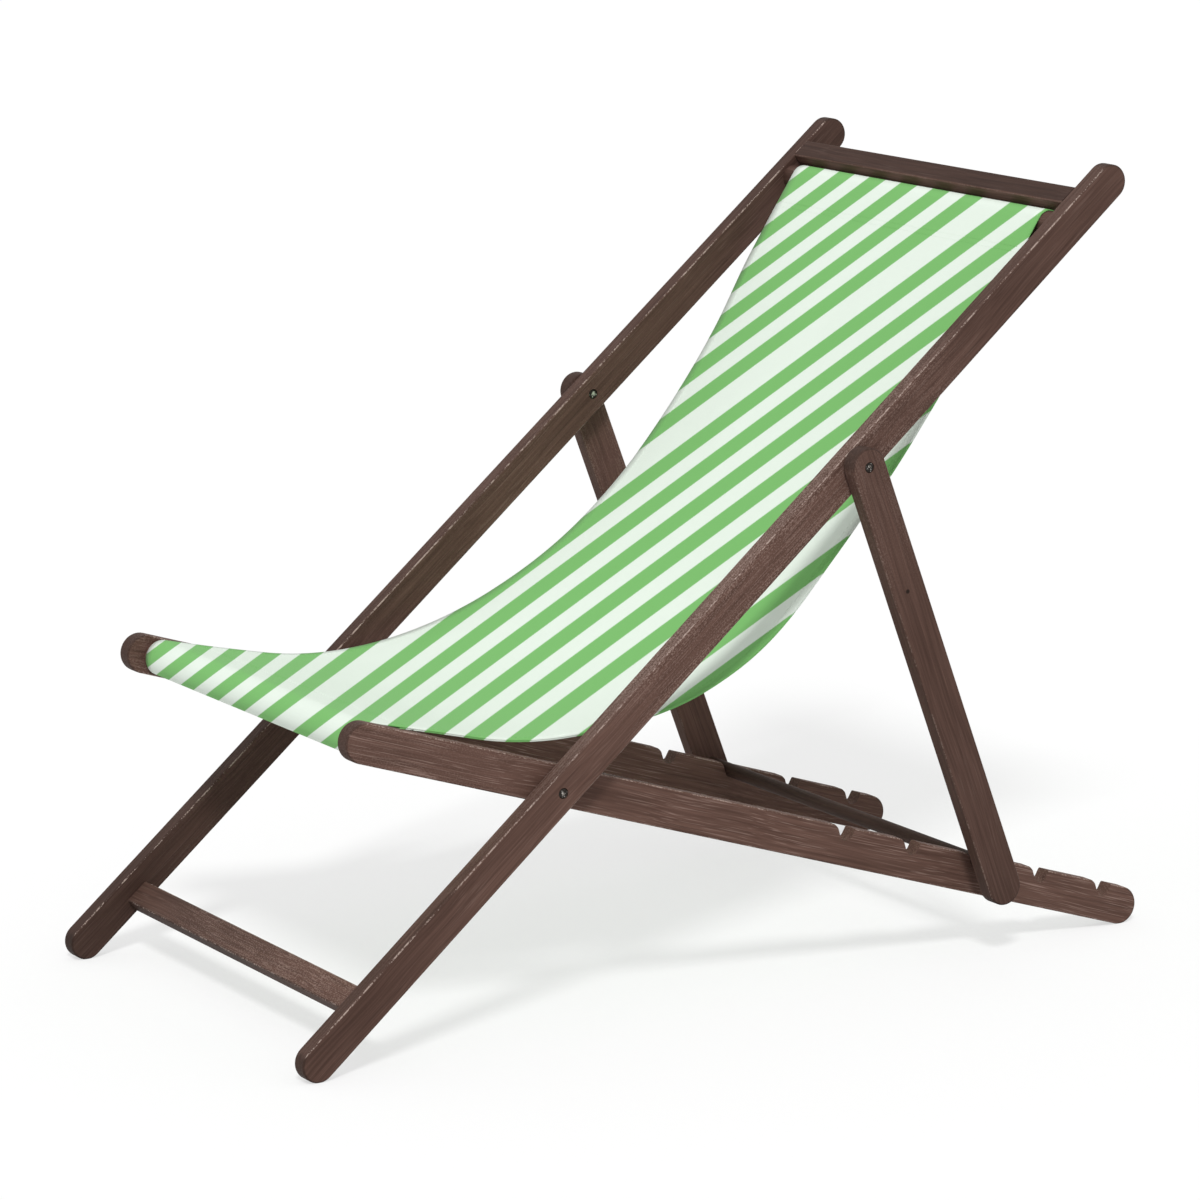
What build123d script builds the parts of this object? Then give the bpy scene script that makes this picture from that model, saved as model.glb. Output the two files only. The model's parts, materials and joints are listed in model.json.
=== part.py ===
from build123d import *
import os
from math import asin, atan2, cos, hypot, pi, radians, sin

os.makedirs("parts", exist_ok=True)

# Driving dimensions, in millimetres and degrees.
# The chair faces -Y, +X is the sitter's left, +Z is up and the floor is Z = 0.
chair_width = 586.0
rail_thickness = 19.0
joint_gap = 1.5
edge_round = 2.0
foot_flat = 0.6

back_rail_length = 1310.0
back_rail_depth = 38.0
back_rail_tilt = 39.7
seat_pivot_from_foot = 393.0
prop_pivot_from_seat_pivot = 473.0

seat_rail_length = 1044.0
seat_rail_depth = 42.0
seat_rail_front_reach = 253.0
seat_rail_lift = 5.0

notch_first = 377.5
notch_pitch = 90.5
notch_count = 5
notch_in_use = 3
notch_depth = 15.0
notch_front_lean = 35.0
notch_rear_lean = 12.0

prop_depth = 41.0
prop_tail = 42.0
prop_bar_diameter = 16.0

slat_thickness = 18.0
top_rail_width = 24.0
top_rail_from_top = 48.0
foot_rail_width = 29.5
foot_rail_from_foot = 82.5
tenon_shoulder = 4.0
tenon_length = 12.0

top_dowel_diameter = 28.0
front_dowel_diameter = 36.0
spigot_diameter = 18.0
top_dowel_from_top = 89.0
front_dowel_setback = 39.0
front_dowel_rise = 1.0

cloth_side_gap = 5.0
cloth_thickness = 1.2
cloth_front_slope = -14.4
cloth_middle_slope = 43.5
cloth_back_slope = 55.8
cloth_seam = 34.0

bolt_diameter = 6.0
bolt_head_diameter = 10.0
bolt_head_height = 4.0
bolt_head_sink = 0.5
socket_across_flats = 4.0
socket_depth = 2.0
washer_diameter = 16.0

# Clearances between pieces that move on each other.
pin_play = 0.05
round_play = 0.3
face_play = 0.1
recess_play = 0.7
end_play = 0.5

# Rail planes across the chair, from the outside inwards.
prop_out = chair_width / 2
prop_in = prop_out - rail_thickness
back_out = prop_in - joint_gap
back_in = back_out - rail_thickness
seat_out = back_in - joint_gap
seat_in = seat_out - rail_thickness

# The foot of the back rail stands on the floor and sets the height of the seat pivot.
tilt = radians(back_rail_tilt)
foot_centre = seat_pivot_from_foot - back_rail_depth / 2
pivot_z = foot_centre * sin(tilt) + back_rail_depth / 2 - foot_flat

# The rear end of the seat rail stands on the floor and sets the slope of the seat frame.
rear_reach = seat_rail_length - seat_rail_front_reach
rear_centre = rear_reach - seat_rail_depth / 2
rear_drop = pivot_z - seat_rail_depth / 2 + foot_flat
slope = asin(rear_drop / hypot(rear_centre, seat_rail_lift)) + atan2(seat_rail_lift, rear_centre)

# The seat pivot is placed so that the chair's outline is centred on Y = 0.
front_end = -foot_centre * cos(tilt) - back_rail_depth / 2
rear_end = seat_rail_lift * sin(slope) + rear_centre * cos(slope) + seat_rail_depth / 2
pivot_y = -(front_end + rear_end) / 2


def back_point(along, across):
    """Point (y, z) at a distance along the back rail from the seat pivot and across it to the front."""
    y = pivot_y + along * cos(tilt) - across * sin(tilt)
    z = pivot_z + along * sin(tilt) + across * cos(tilt)
    return (y, z)


def seat_point(along, across):
    """Point (y, z) at a distance along the seat rail's centre line to the rear and across it upwards."""
    up = across + seat_rail_lift
    y = pivot_y + along * cos(slope) + up * sin(slope)
    z = pivot_z - along * sin(slope) + up * cos(slope)
    return (y, z)


def back_plane(x, along=0.0, across=0.0):
    """Sketch plane at x whose first axis runs up the back rail."""
    y, z = back_point(along, across)
    return Plane(origin=(x, y, z), x_dir=(0, cos(tilt), sin(tilt)), z_dir=(1, 0, 0))


def seat_plane(x, along=0.0, across=0.0):
    """Sketch plane at x whose first axis runs along the seat rail to the rear."""
    y, z = seat_point(along, across)
    return Plane(origin=(x, y, z), x_dir=(0, cos(slope), -sin(slope)), z_dir=(1, 0, 0))


# The prop reaches from its pivot on the back rail to the crossbar in the notch in use.
bar_radius = prop_bar_diameter / 2
notch_radius = bar_radius + round_play
bar_height = seat_rail_depth / 2 - notch_depth + notch_radius
bar_along = notch_first + (notch_in_use - 1) * notch_pitch
prop_y, prop_z = back_point(prop_pivot_from_seat_pivot, 0.0)
bar_y, bar_z = seat_point(bar_along, bar_height)
prop_reach = hypot(bar_y - prop_y, bar_z - prop_z)
prop_angle = atan2(bar_z - prop_z, bar_y - prop_y)


def prop_plane(x, along=0.0):
    """Sketch plane at x whose first axis runs down the prop from its pivot."""
    y, z = prop_y + along * cos(prop_angle), prop_z + along * sin(prop_angle)
    return Plane(origin=(x, y, z), x_dir=(0, cos(prop_angle), sin(prop_angle)), z_dir=(1, 0, 0))


# Places along the back rail, measured from the seat pivot.
top_end = back_rail_length - seat_pivot_from_foot
top_rail_at = top_end - top_rail_from_top - top_rail_width / 2
top_rail_across = back_rail_depth / 2 - slat_thickness / 2
foot_rail_at = foot_rail_from_foot + foot_rail_width / 2 - seat_pivot_from_foot
foot_rail_across = slat_thickness / 2 - back_rail_depth / 2
top_dowel_at = top_end - top_dowel_from_top
front_dowel_at = front_dowel_setback - seat_rail_front_reach

hole_radius = bolt_diameter / 2 + pin_play
recess_radius = bolt_head_diameter / 2 + recess_play
recess_depth = bolt_head_height + bolt_head_sink
socket_length = tenon_length + end_play

# Back rails: round ended, with mortises and a dowel socket on the inner face.
with BuildPart() as back_rail_left:
    with BuildSketch(back_plane(back_in, back_rail_length / 2 - seat_pivot_from_foot)):
        SlotOverall(back_rail_length, back_rail_depth)
    extrude(amount=rail_thickness)
    fillet(back_rail_left.faces().filter_by(Axis.X).edges(), edge_round)
    split(bisect_by=Plane.XY, keep=Keep.TOP)
    with BuildSketch(back_plane(back_in)):
        Circle(hole_radius)
    extrude(amount=rail_thickness, mode=Mode.SUBTRACT)
    with BuildSketch(back_plane(back_out)):
        Circle(recess_radius)
    extrude(amount=-recess_depth, mode=Mode.SUBTRACT)
    with BuildSketch(back_plane(back_in, prop_pivot_from_seat_pivot)):
        Circle(hole_radius)
    extrude(amount=rail_thickness, mode=Mode.SUBTRACT)
    with BuildSketch(back_plane(back_in, prop_pivot_from_seat_pivot)):
        Circle(recess_radius)
    extrude(amount=recess_depth, mode=Mode.SUBTRACT)
    with BuildSketch(back_plane(back_in, top_rail_at, top_rail_across)):
        Rectangle(top_rail_width - 2 * tenon_shoulder, slat_thickness - 2 * tenon_shoulder)
    extrude(amount=socket_length, mode=Mode.SUBTRACT)
    with BuildSketch(back_plane(back_in, foot_rail_at, foot_rail_across)):
        Rectangle(foot_rail_width - 2 * tenon_shoulder, slat_thickness - 2 * tenon_shoulder)
    extrude(amount=socket_length, mode=Mode.SUBTRACT)
    with BuildSketch(back_plane(back_in, top_dowel_at)):
        Circle(spigot_diameter / 2)
    extrude(amount=socket_length, mode=Mode.SUBTRACT)

with BuildPart() as back_rail_right:
    add(back_rail_left.part.mirror(Plane.YZ))

# Cross slats of the back frame, tenoned into the rails.
with BuildPart() as top_rail:
    with BuildSketch(back_plane(-back_in, top_rail_at, top_rail_across)):
        RectangleRounded(top_rail_width, slat_thickness, edge_round)
    extrude(amount=2 * back_in)
    with BuildSketch(back_plane(-back_in - tenon_length, top_rail_at, top_rail_across)):
        Rectangle(top_rail_width - 2 * tenon_shoulder, slat_thickness - 2 * tenon_shoulder)
    extrude(amount=2 * (back_in + tenon_length))

with BuildPart() as foot_rail:
    with BuildSketch(back_plane(-back_in, foot_rail_at, foot_rail_across)):
        RectangleRounded(foot_rail_width, slat_thickness, edge_round)
    extrude(amount=2 * back_in)
    with BuildSketch(back_plane(-back_in - tenon_length, foot_rail_at, foot_rail_across)):
        Rectangle(foot_rail_width - 2 * tenon_shoulder, slat_thickness - 2 * tenon_shoulder)
    extrude(amount=2 * (back_in + tenon_length))

with BuildPart() as top_sling_dowel:
    with BuildSketch(back_plane(-back_in, top_dowel_at)):
        Circle(top_dowel_diameter / 2)
    extrude(amount=2 * back_in)
    with BuildSketch(back_plane(-back_in - tenon_length, top_dowel_at)):
        Circle(spigot_diameter / 2)
    extrude(amount=2 * (back_in + tenon_length))

# Seat rails: round ended, notched along the rear half of the top edge.
mouth = seat_rail_depth / 2 - bar_height
front_lean = radians(notch_front_lean)
rear_lean = radians(notch_rear_lean)
wall_front = (-notch_radius * cos(front_lean), -notch_radius * sin(front_lean))
wall_rear = (notch_radius * cos(rear_lean), -notch_radius * sin(rear_lean))
lip = notch_depth / 5
lip_front = wall_front[0] - (mouth - lip - wall_front[1]) * sin(front_lean) / cos(front_lean)
top_front = lip_front - 1.6 * lip
top_rear = wall_rear[0] + (mouth - wall_rear[1]) * sin(rear_lean) / cos(rear_lean)
over = mouth + edge_round

with BuildPart() as seat_rail_left:
    with BuildSketch(seat_plane(seat_in, seat_rail_length / 2 - seat_rail_front_reach)):
        SlotOverall(seat_rail_length, seat_rail_depth)
    extrude(amount=rail_thickness)
    fillet(seat_rail_left.faces().filter_by(Axis.X).edges(), edge_round)
    split(bisect_by=Plane.XY, keep=Keep.TOP)
    for number in range(notch_count):
        with BuildSketch(seat_plane(seat_in, notch_first + number * notch_pitch, bar_height)):
            with BuildLine():
                ThreePointArc(wall_front, (0, -notch_radius), wall_rear)
                Polyline(
                    wall_rear,
                    (top_rear, mouth),
                    (top_rear, over),
                    (top_front, over),
                    (top_front, mouth),
                    (lip_front, mouth - lip),
                    wall_front,
                )
            make_face()
        extrude(amount=rail_thickness, mode=Mode.SUBTRACT)
    with BuildSketch(seat_plane(seat_in, 0, -seat_rail_lift)):
        Circle(hole_radius)
    extrude(amount=rail_thickness, mode=Mode.SUBTRACT)
    with BuildSketch(seat_plane(seat_in, 0, -seat_rail_lift)):
        Circle(recess_radius)
    extrude(amount=recess_depth, mode=Mode.SUBTRACT)
    with BuildSketch(seat_plane(seat_in, front_dowel_at, front_dowel_rise)):
        Circle(spigot_diameter / 2)
    extrude(amount=socket_length, mode=Mode.SUBTRACT)

with BuildPart() as seat_rail_right:
    add(seat_rail_left.part.mirror(Plane.YZ))

with BuildPart() as front_sling_dowel:
    with BuildSketch(seat_plane(-seat_in, front_dowel_at, front_dowel_rise)):
        Circle(front_dowel_diameter / 2)
    extrude(amount=2 * seat_in)
    with BuildSketch(seat_plane(-seat_in - tenon_length, front_dowel_at, front_dowel_rise)):
        Circle(spigot_diameter / 2)
    extrude(amount=2 * (seat_in + tenon_length))

# Prop: two struts outside the back rails and the crossbar that drops into the notches.
prop_length = prop_depth / 2 + prop_reach + prop_tail
bar_spigot_diameter = prop_bar_diameter - 4.0

with BuildPart() as prop_strut_left:
    with BuildSketch(prop_plane(prop_in, prop_length / 2 - prop_depth / 2)):
        SlotOverall(prop_length, prop_depth)
    extrude(amount=rail_thickness)
    fillet(prop_strut_left.faces().filter_by(Axis.X).edges(), edge_round)
    with BuildSketch(prop_plane(prop_in)):
        Circle(hole_radius)
    extrude(amount=rail_thickness, mode=Mode.SUBTRACT)
    with BuildSketch(prop_plane(prop_out)):
        Circle(recess_radius)
    extrude(amount=-recess_depth, mode=Mode.SUBTRACT)
    with BuildSketch(prop_plane(prop_in, prop_reach)):
        Circle(bar_spigot_diameter / 2)
    extrude(amount=socket_length, mode=Mode.SUBTRACT)

with BuildPart() as prop_strut_right:
    add(prop_strut_left.part.mirror(Plane.YZ))

with BuildPart() as prop_bar:
    with BuildSketch(prop_plane(-prop_in, prop_reach)):
        Circle(bar_radius)
    extrude(amount=2 * prop_in)
    with BuildSketch(prop_plane(-prop_in - tenon_length, prop_reach)):
        Circle(bar_spigot_diameter / 2)
    extrude(amount=2 * (prop_in + tenon_length))

# Sling: a hanging sheet from the front dowel to the top dowel, looped and seamed round both.
front_y, front_z = seat_point(front_dowel_at, front_dowel_rise)
top_y, top_z = back_point(top_dowel_at, 0.0)
span = hypot(top_y - front_y, top_z - front_z)
cloth_width = 2 * (seat_in - cloth_side_gap)
front_loop = front_dowel_diameter / 2 + round_play
top_loop = top_dowel_diameter / 2 + round_play
a_front, a_mid, a_back = radians(cloth_front_slope), radians(cloth_middle_slope), radians(cloth_back_slope)


def heading(angle):
    """Unit vector (y, z) along a slope angle."""
    return (cos(angle), sin(angle))


def upward(angle):
    """Unit vector (y, z) square to a slope angle, on the sitter's side."""
    return (-sin(angle), cos(angle))


def turn(start, radius, first, last):
    """End point of an arc of the sheet that turns from one slope angle to another."""
    first_up, last_up = upward(first), upward(last)
    return (
        start[0] + radius * (first_up[0] - last_up[0]),
        start[1] + radius * (first_up[1] - last_up[1]),
    )


def shift(point, direction, distance):
    """Point moved along a direction."""
    return (point[0] + direction[0] * distance, point[1] + direction[1] * distance)


def wrap(centre, radius, first, last):
    """Draw the cloth's line round a dowel as two arcs, from one direction angle to another."""
    step = (last - first) / 4
    spots = [shift(centre, heading(first + count * step), radius) for count in range(5)]
    ThreePointArc(spots[0], spots[1], spots[2])
    ThreePointArc(spots[2], spots[3], spots[4])


# The lower face leaves the front dowel straight, turns twice and meets the top dowel straight.
front_straight = 0.128 * span
back_radius = 1.35 * span
low_0 = shift((front_y, front_z), upward(a_front), front_loop)
low_1 = shift(low_0, heading(a_front), front_straight)
land = shift((top_y, top_z), upward(a_back), top_loop)
square = upward(a_back)
bare = turn(low_1, back_radius, a_mid, a_back)
unit = turn((0.0, 0.0), 1.0, a_front, a_mid)
missing = (land[0] - bare[0]) * square[0] + (land[1] - bare[1]) * square[1]
seat_radius = missing / (unit[0] * square[0] + unit[1] * square[1])
low_2 = turn(low_1, seat_radius, a_front, a_mid)
low_3 = turn(low_2, back_radius, a_mid, a_back)
low_4 = land
bend_1 = (a_front + a_mid) / 2
bend_2 = (a_mid + a_back) / 2
low_12 = turn(low_1, seat_radius, a_front, bend_1)
low_23 = turn(low_2, back_radius, a_mid, bend_2)
high_0 = shift(low_0, upward(a_front), cloth_thickness)
high_1 = shift(low_1, upward(a_front), cloth_thickness)
high_12 = shift(low_12, upward(bend_1), cloth_thickness)
high_2 = shift(low_2, upward(a_mid), cloth_thickness)
high_23 = shift(low_23, upward(bend_2), cloth_thickness)
high_3 = shift(low_3, upward(a_back), cloth_thickness)
high_4 = shift(low_4, upward(a_back), cloth_thickness)

# The return leg of each loop runs from the seam to the far side of its dowel.
front_half = atan2(front_loop, cloth_seam)
back_half = atan2(top_loop, cloth_seam)
front_leg = a_front + 2 * front_half
back_leg = a_back - 2 * back_half
front_seam = shift(low_0, heading(a_front), cloth_seam)
front_seam_out = shift(low_0, heading(a_front), cloth_seam + cloth_thickness / sin(2 * front_half))
front_far = upward(front_leg)
front_in = shift((front_y, front_z), front_far, -front_loop)
front_out = shift((front_y, front_z), front_far, -front_loop - cloth_thickness)
back_seam = shift(low_4, heading(a_back), -cloth_seam)
back_seam_out = shift(low_4, heading(a_back), -cloth_seam - cloth_thickness / sin(2 * back_half))
back_far = upward(back_leg)
back_in_point = shift((top_y, top_z), back_far, -top_loop)
back_out_point = shift((top_y, top_z), back_far, -top_loop - cloth_thickness)

with BuildPart() as sling:
    with BuildSketch(Plane.YZ.offset(-cloth_width / 2)):
        with BuildLine():
            Line(front_seam_out, front_out)
            wrap((front_y, front_z), front_loop + cloth_thickness, front_leg - pi / 2, a_front - 3 * pi / 2)
            Line(high_0, high_1)
            ThreePointArc(high_1, high_12, high_2)
            ThreePointArc(high_2, high_23, high_3)
            Line(high_3, high_4)
            wrap((top_y, top_z), top_loop + cloth_thickness, a_back + pi / 2, back_leg - pi / 2)
            Line(back_out_point, back_seam_out)
            Line(back_seam_out, low_3)
            ThreePointArc(low_3, low_23, low_2)
            ThreePointArc(low_2, low_12, low_1)
            Line(low_1, front_seam_out)
        make_face()
        with BuildLine():
            Line(front_seam, front_in)
            wrap((front_y, front_z), front_loop, front_leg - pi / 2, a_front - 3 * pi / 2)
            Line(low_0, front_seam)
        make_face(mode=Mode.SUBTRACT)
        with BuildLine():
            Line(back_seam, back_in_point)
            wrap((top_y, top_z), top_loop, back_leg - pi / 2, a_back + pi / 2)
            Line(low_4, back_seam)
        make_face(mode=Mode.SUBTRACT)
    extrude(amount=cloth_width)

# Pivot bolts, sleeve nuts and washers. Heads and nuts sit below the faces of the rails.
seat_bolt_head = back_out - bolt_head_sink
seat_bolt_tail = seat_in + bolt_head_sink
prop_bolt_head = prop_out - bolt_head_sink
prop_bolt_tail = back_in + bolt_head_sink

with BuildPart() as seat_pivot_bolt_left:
    with BuildSketch(back_plane(seat_bolt_tail)):
        Circle(bolt_diameter / 2)
    extrude(amount=seat_bolt_head - seat_bolt_tail)
    with BuildSketch(back_plane(seat_bolt_head)):
        Circle(bolt_head_diameter / 2)
    extrude(amount=-bolt_head_height)
    with BuildSketch(back_plane(seat_bolt_head)):
        RegularPolygon(socket_across_flats / 2, 6, major_radius=False)
    extrude(amount=-socket_depth, mode=Mode.SUBTRACT)

with BuildPart() as seat_pivot_bolt_right:
    add(seat_pivot_bolt_left.part.mirror(Plane.YZ))

with BuildPart() as seat_pivot_nut_left:
    with BuildSketch(back_plane(seat_bolt_tail)):
        Circle(bolt_head_diameter / 2)
        Circle(bolt_diameter / 2, mode=Mode.SUBTRACT)
    extrude(amount=bolt_head_height - face_play)

with BuildPart() as seat_pivot_nut_right:
    add(seat_pivot_nut_left.part.mirror(Plane.YZ))

with BuildPart() as seat_pivot_washer_left:
    with BuildSketch(back_plane(seat_out + face_play)):
        Circle(washer_diameter / 2)
        Circle(hole_radius, mode=Mode.SUBTRACT)
    extrude(amount=joint_gap - face_play)

with BuildPart() as seat_pivot_washer_right:
    add(seat_pivot_washer_left.part.mirror(Plane.YZ))

with BuildPart() as prop_pivot_bolt_left:
    with BuildSketch(back_plane(prop_bolt_tail, prop_pivot_from_seat_pivot)):
        Circle(bolt_diameter / 2)
    extrude(amount=prop_bolt_head - prop_bolt_tail)
    with BuildSketch(back_plane(prop_bolt_head, prop_pivot_from_seat_pivot)):
        Circle(bolt_head_diameter / 2)
    extrude(amount=face_play - bolt_head_height)
    with BuildSketch(back_plane(prop_bolt_head, prop_pivot_from_seat_pivot)):
        RegularPolygon(socket_across_flats / 2, 6, major_radius=False)
    extrude(amount=-socket_depth, mode=Mode.SUBTRACT)

with BuildPart() as prop_pivot_bolt_right:
    add(prop_pivot_bolt_left.part.mirror(Plane.YZ))

with BuildPart() as prop_pivot_nut_left:
    with BuildSketch(back_plane(prop_bolt_tail, prop_pivot_from_seat_pivot)):
        Circle(bolt_head_diameter / 2)
        Circle(bolt_diameter / 2, mode=Mode.SUBTRACT)
    extrude(amount=bolt_head_height)

with BuildPart() as prop_pivot_nut_right:
    add(prop_pivot_nut_left.part.mirror(Plane.YZ))

with BuildPart() as prop_pivot_washer_left:
    with BuildSketch(back_plane(back_out, prop_pivot_from_seat_pivot)):
        Circle(washer_diameter / 2)
        Circle(hole_radius, mode=Mode.SUBTRACT)
    extrude(amount=joint_gap - face_play)

with BuildPart() as prop_pivot_washer_right:
    add(prop_pivot_washer_left.part.mirror(Plane.YZ))

back_rail_left.part.label = "back_rail_left"
export_step(back_rail_left.part, "parts/back_rail_left.step")
back_rail_right.part.label = "back_rail_right"
export_step(back_rail_right.part, "parts/back_rail_right.step")
top_rail.part.label = "top_rail"
export_step(top_rail.part, "parts/top_rail.step")
foot_rail.part.label = "foot_rail"
export_step(foot_rail.part, "parts/foot_rail.step")
top_sling_dowel.part.label = "top_sling_dowel"
export_step(top_sling_dowel.part, "parts/top_sling_dowel.step")
seat_rail_left.part.label = "seat_rail_left"
export_step(seat_rail_left.part, "parts/seat_rail_left.step")
seat_rail_right.part.label = "seat_rail_right"
export_step(seat_rail_right.part, "parts/seat_rail_right.step")
front_sling_dowel.part.label = "front_sling_dowel"
export_step(front_sling_dowel.part, "parts/front_sling_dowel.step")
prop_strut_left.part.label = "prop_strut_left"
export_step(prop_strut_left.part, "parts/prop_strut_left.step")
prop_strut_right.part.label = "prop_strut_right"
export_step(prop_strut_right.part, "parts/prop_strut_right.step")
prop_bar.part.label = "prop_bar"
export_step(prop_bar.part, "parts/prop_bar.step")
sling.part.label = "sling"
export_step(sling.part, "parts/sling.step")
seat_pivot_bolt_left.part.label = "seat_pivot_bolt_left"
export_step(seat_pivot_bolt_left.part, "parts/seat_pivot_bolt_left.step")
seat_pivot_bolt_right.part.label = "seat_pivot_bolt_right"
export_step(seat_pivot_bolt_right.part, "parts/seat_pivot_bolt_right.step")
seat_pivot_nut_left.part.label = "seat_pivot_nut_left"
export_step(seat_pivot_nut_left.part, "parts/seat_pivot_nut_left.step")
seat_pivot_nut_right.part.label = "seat_pivot_nut_right"
export_step(seat_pivot_nut_right.part, "parts/seat_pivot_nut_right.step")
seat_pivot_washer_left.part.label = "seat_pivot_washer_left"
export_step(seat_pivot_washer_left.part, "parts/seat_pivot_washer_left.step")
seat_pivot_washer_right.part.label = "seat_pivot_washer_right"
export_step(seat_pivot_washer_right.part, "parts/seat_pivot_washer_right.step")
prop_pivot_bolt_left.part.label = "prop_pivot_bolt_left"
export_step(prop_pivot_bolt_left.part, "parts/prop_pivot_bolt_left.step")
prop_pivot_bolt_right.part.label = "prop_pivot_bolt_right"
export_step(prop_pivot_bolt_right.part, "parts/prop_pivot_bolt_right.step")
prop_pivot_nut_left.part.label = "prop_pivot_nut_left"
export_step(prop_pivot_nut_left.part, "parts/prop_pivot_nut_left.step")
prop_pivot_nut_right.part.label = "prop_pivot_nut_right"
export_step(prop_pivot_nut_right.part, "parts/prop_pivot_nut_right.step")
prop_pivot_washer_left.part.label = "prop_pivot_washer_left"
export_step(prop_pivot_washer_left.part, "parts/prop_pivot_washer_left.step")
prop_pivot_washer_right.part.label = "prop_pivot_washer_right"
export_step(prop_pivot_washer_right.part, "parts/prop_pivot_washer_right.step")
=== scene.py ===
"""Looks of a folding deck chair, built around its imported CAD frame.

The chair faces -Y, +X is the sitter's left and +Z is up. Sizes are in metres and angles in
degrees unless a name says otherwise.
"""

from __future__ import annotations

import json
import logging
import math
from bisect import bisect
from dataclasses import dataclass
from enum import Enum
from itertools import accumulate
from typing import Any, Iterable, Union

import bmesh
import bpy
from mathutils import Matrix, Vector, noise
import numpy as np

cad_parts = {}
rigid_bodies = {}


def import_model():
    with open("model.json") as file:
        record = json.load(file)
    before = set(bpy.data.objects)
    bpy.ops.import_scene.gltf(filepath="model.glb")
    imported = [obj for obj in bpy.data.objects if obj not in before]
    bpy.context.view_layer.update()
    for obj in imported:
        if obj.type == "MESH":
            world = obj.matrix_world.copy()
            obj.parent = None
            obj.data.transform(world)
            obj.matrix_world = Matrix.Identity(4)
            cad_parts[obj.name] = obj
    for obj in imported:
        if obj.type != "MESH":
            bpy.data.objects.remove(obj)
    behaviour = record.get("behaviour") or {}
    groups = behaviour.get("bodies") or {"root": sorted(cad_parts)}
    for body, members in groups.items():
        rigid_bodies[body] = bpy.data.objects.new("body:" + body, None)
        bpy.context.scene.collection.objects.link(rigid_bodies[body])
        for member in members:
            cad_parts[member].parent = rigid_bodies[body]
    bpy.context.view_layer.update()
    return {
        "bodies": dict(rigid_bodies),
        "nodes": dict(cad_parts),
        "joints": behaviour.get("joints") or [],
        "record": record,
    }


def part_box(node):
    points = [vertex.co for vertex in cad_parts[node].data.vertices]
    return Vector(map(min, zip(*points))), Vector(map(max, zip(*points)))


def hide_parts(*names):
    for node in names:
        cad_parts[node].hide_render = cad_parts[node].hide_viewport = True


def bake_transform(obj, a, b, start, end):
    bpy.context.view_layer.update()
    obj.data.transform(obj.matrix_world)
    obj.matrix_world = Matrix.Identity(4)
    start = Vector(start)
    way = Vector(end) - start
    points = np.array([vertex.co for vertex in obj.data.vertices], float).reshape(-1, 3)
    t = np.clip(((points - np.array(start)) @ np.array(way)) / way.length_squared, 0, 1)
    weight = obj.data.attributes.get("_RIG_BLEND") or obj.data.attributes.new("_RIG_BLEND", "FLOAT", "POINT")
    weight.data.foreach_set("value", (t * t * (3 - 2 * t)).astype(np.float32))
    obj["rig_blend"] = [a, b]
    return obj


LOG = logging.getLogger("deck_chair")

Triple = tuple[float, float, float]
Colour = Triple
Flat = tuple[float, float]
Span = tuple[float, float, float, float]
Term = Union["Wire", float]


class Run(Enum):
    """Way that a stick's grain runs."""

    LENGTHWISE = "along a rail"
    CROSSWISE = "across the chair"


class Side(Enum):
    """Side of the chair, as the sign of X."""

    LEFT = 1
    RIGHT = -1


# Shader graphs


class Wire:
    """A shader value that takes part in plain arithmetic."""

    def __init__(self, graph: Graph, socket: bpy.types.NodeSocket) -> None:
        """Wrap one output socket of a graph."""
        self.graph = graph
        self.socket = socket

    def maths(self, operation: str, first: Term, second: Term = 0.0) -> Wire:
        """Add one Math node.

        Args:
            operation: The Math node's operation.
            first: First operand.
            second: Second operand, where the operation takes one.

        Returns:
            The node's result.
        """
        return self.graph.add("ShaderNodeMath", {"operation": operation}, {0: first, 1: second})

    def __add__(self, other: Term) -> Wire:
        """Sum."""
        return self.maths("ADD", self, other)

    __radd__ = __add__

    def __sub__(self, other: Term) -> Wire:
        """Difference."""
        return self.maths("SUBTRACT", self, other)

    def __rsub__(self, other: Term) -> Wire:
        """Difference from a number."""
        return self.maths("SUBTRACT", other, self)

    def __mul__(self, other: Term) -> Wire:
        """Product."""
        return self.maths("MULTIPLY", self, other)

    __rmul__ = __mul__

    def __mod__(self, other: Term) -> Wire:
        """Remainder that is never negative."""
        return self.maths("FLOORED_MODULO", self, other)

    def __abs__(self) -> Wire:
        """Size without sign."""
        return self.maths("ABSOLUTE", self)

    def larger(self, other: Term) -> Wire:
        """The larger of two values."""
        return self.maths("MAXIMUM", self, other)

    def sine(self) -> Wire:
        """Sine of the value."""
        return self.maths("SINE", self)

    def ease(self, low: float, high: float) -> Wire:
        """Rise smoothly from 0 to 1.

        Args:
            low: Value at which the result is 0.
            high: Value at which the result is 1; it may be below low.

        Returns:
            The eased value.
        """
        return self.graph.add(
            "ShaderNodeMapRange",
            {"interpolation_type": "SMOOTHSTEP"},
            {"Value": self, "From Min": low, "From Max": high},
        )


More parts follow.
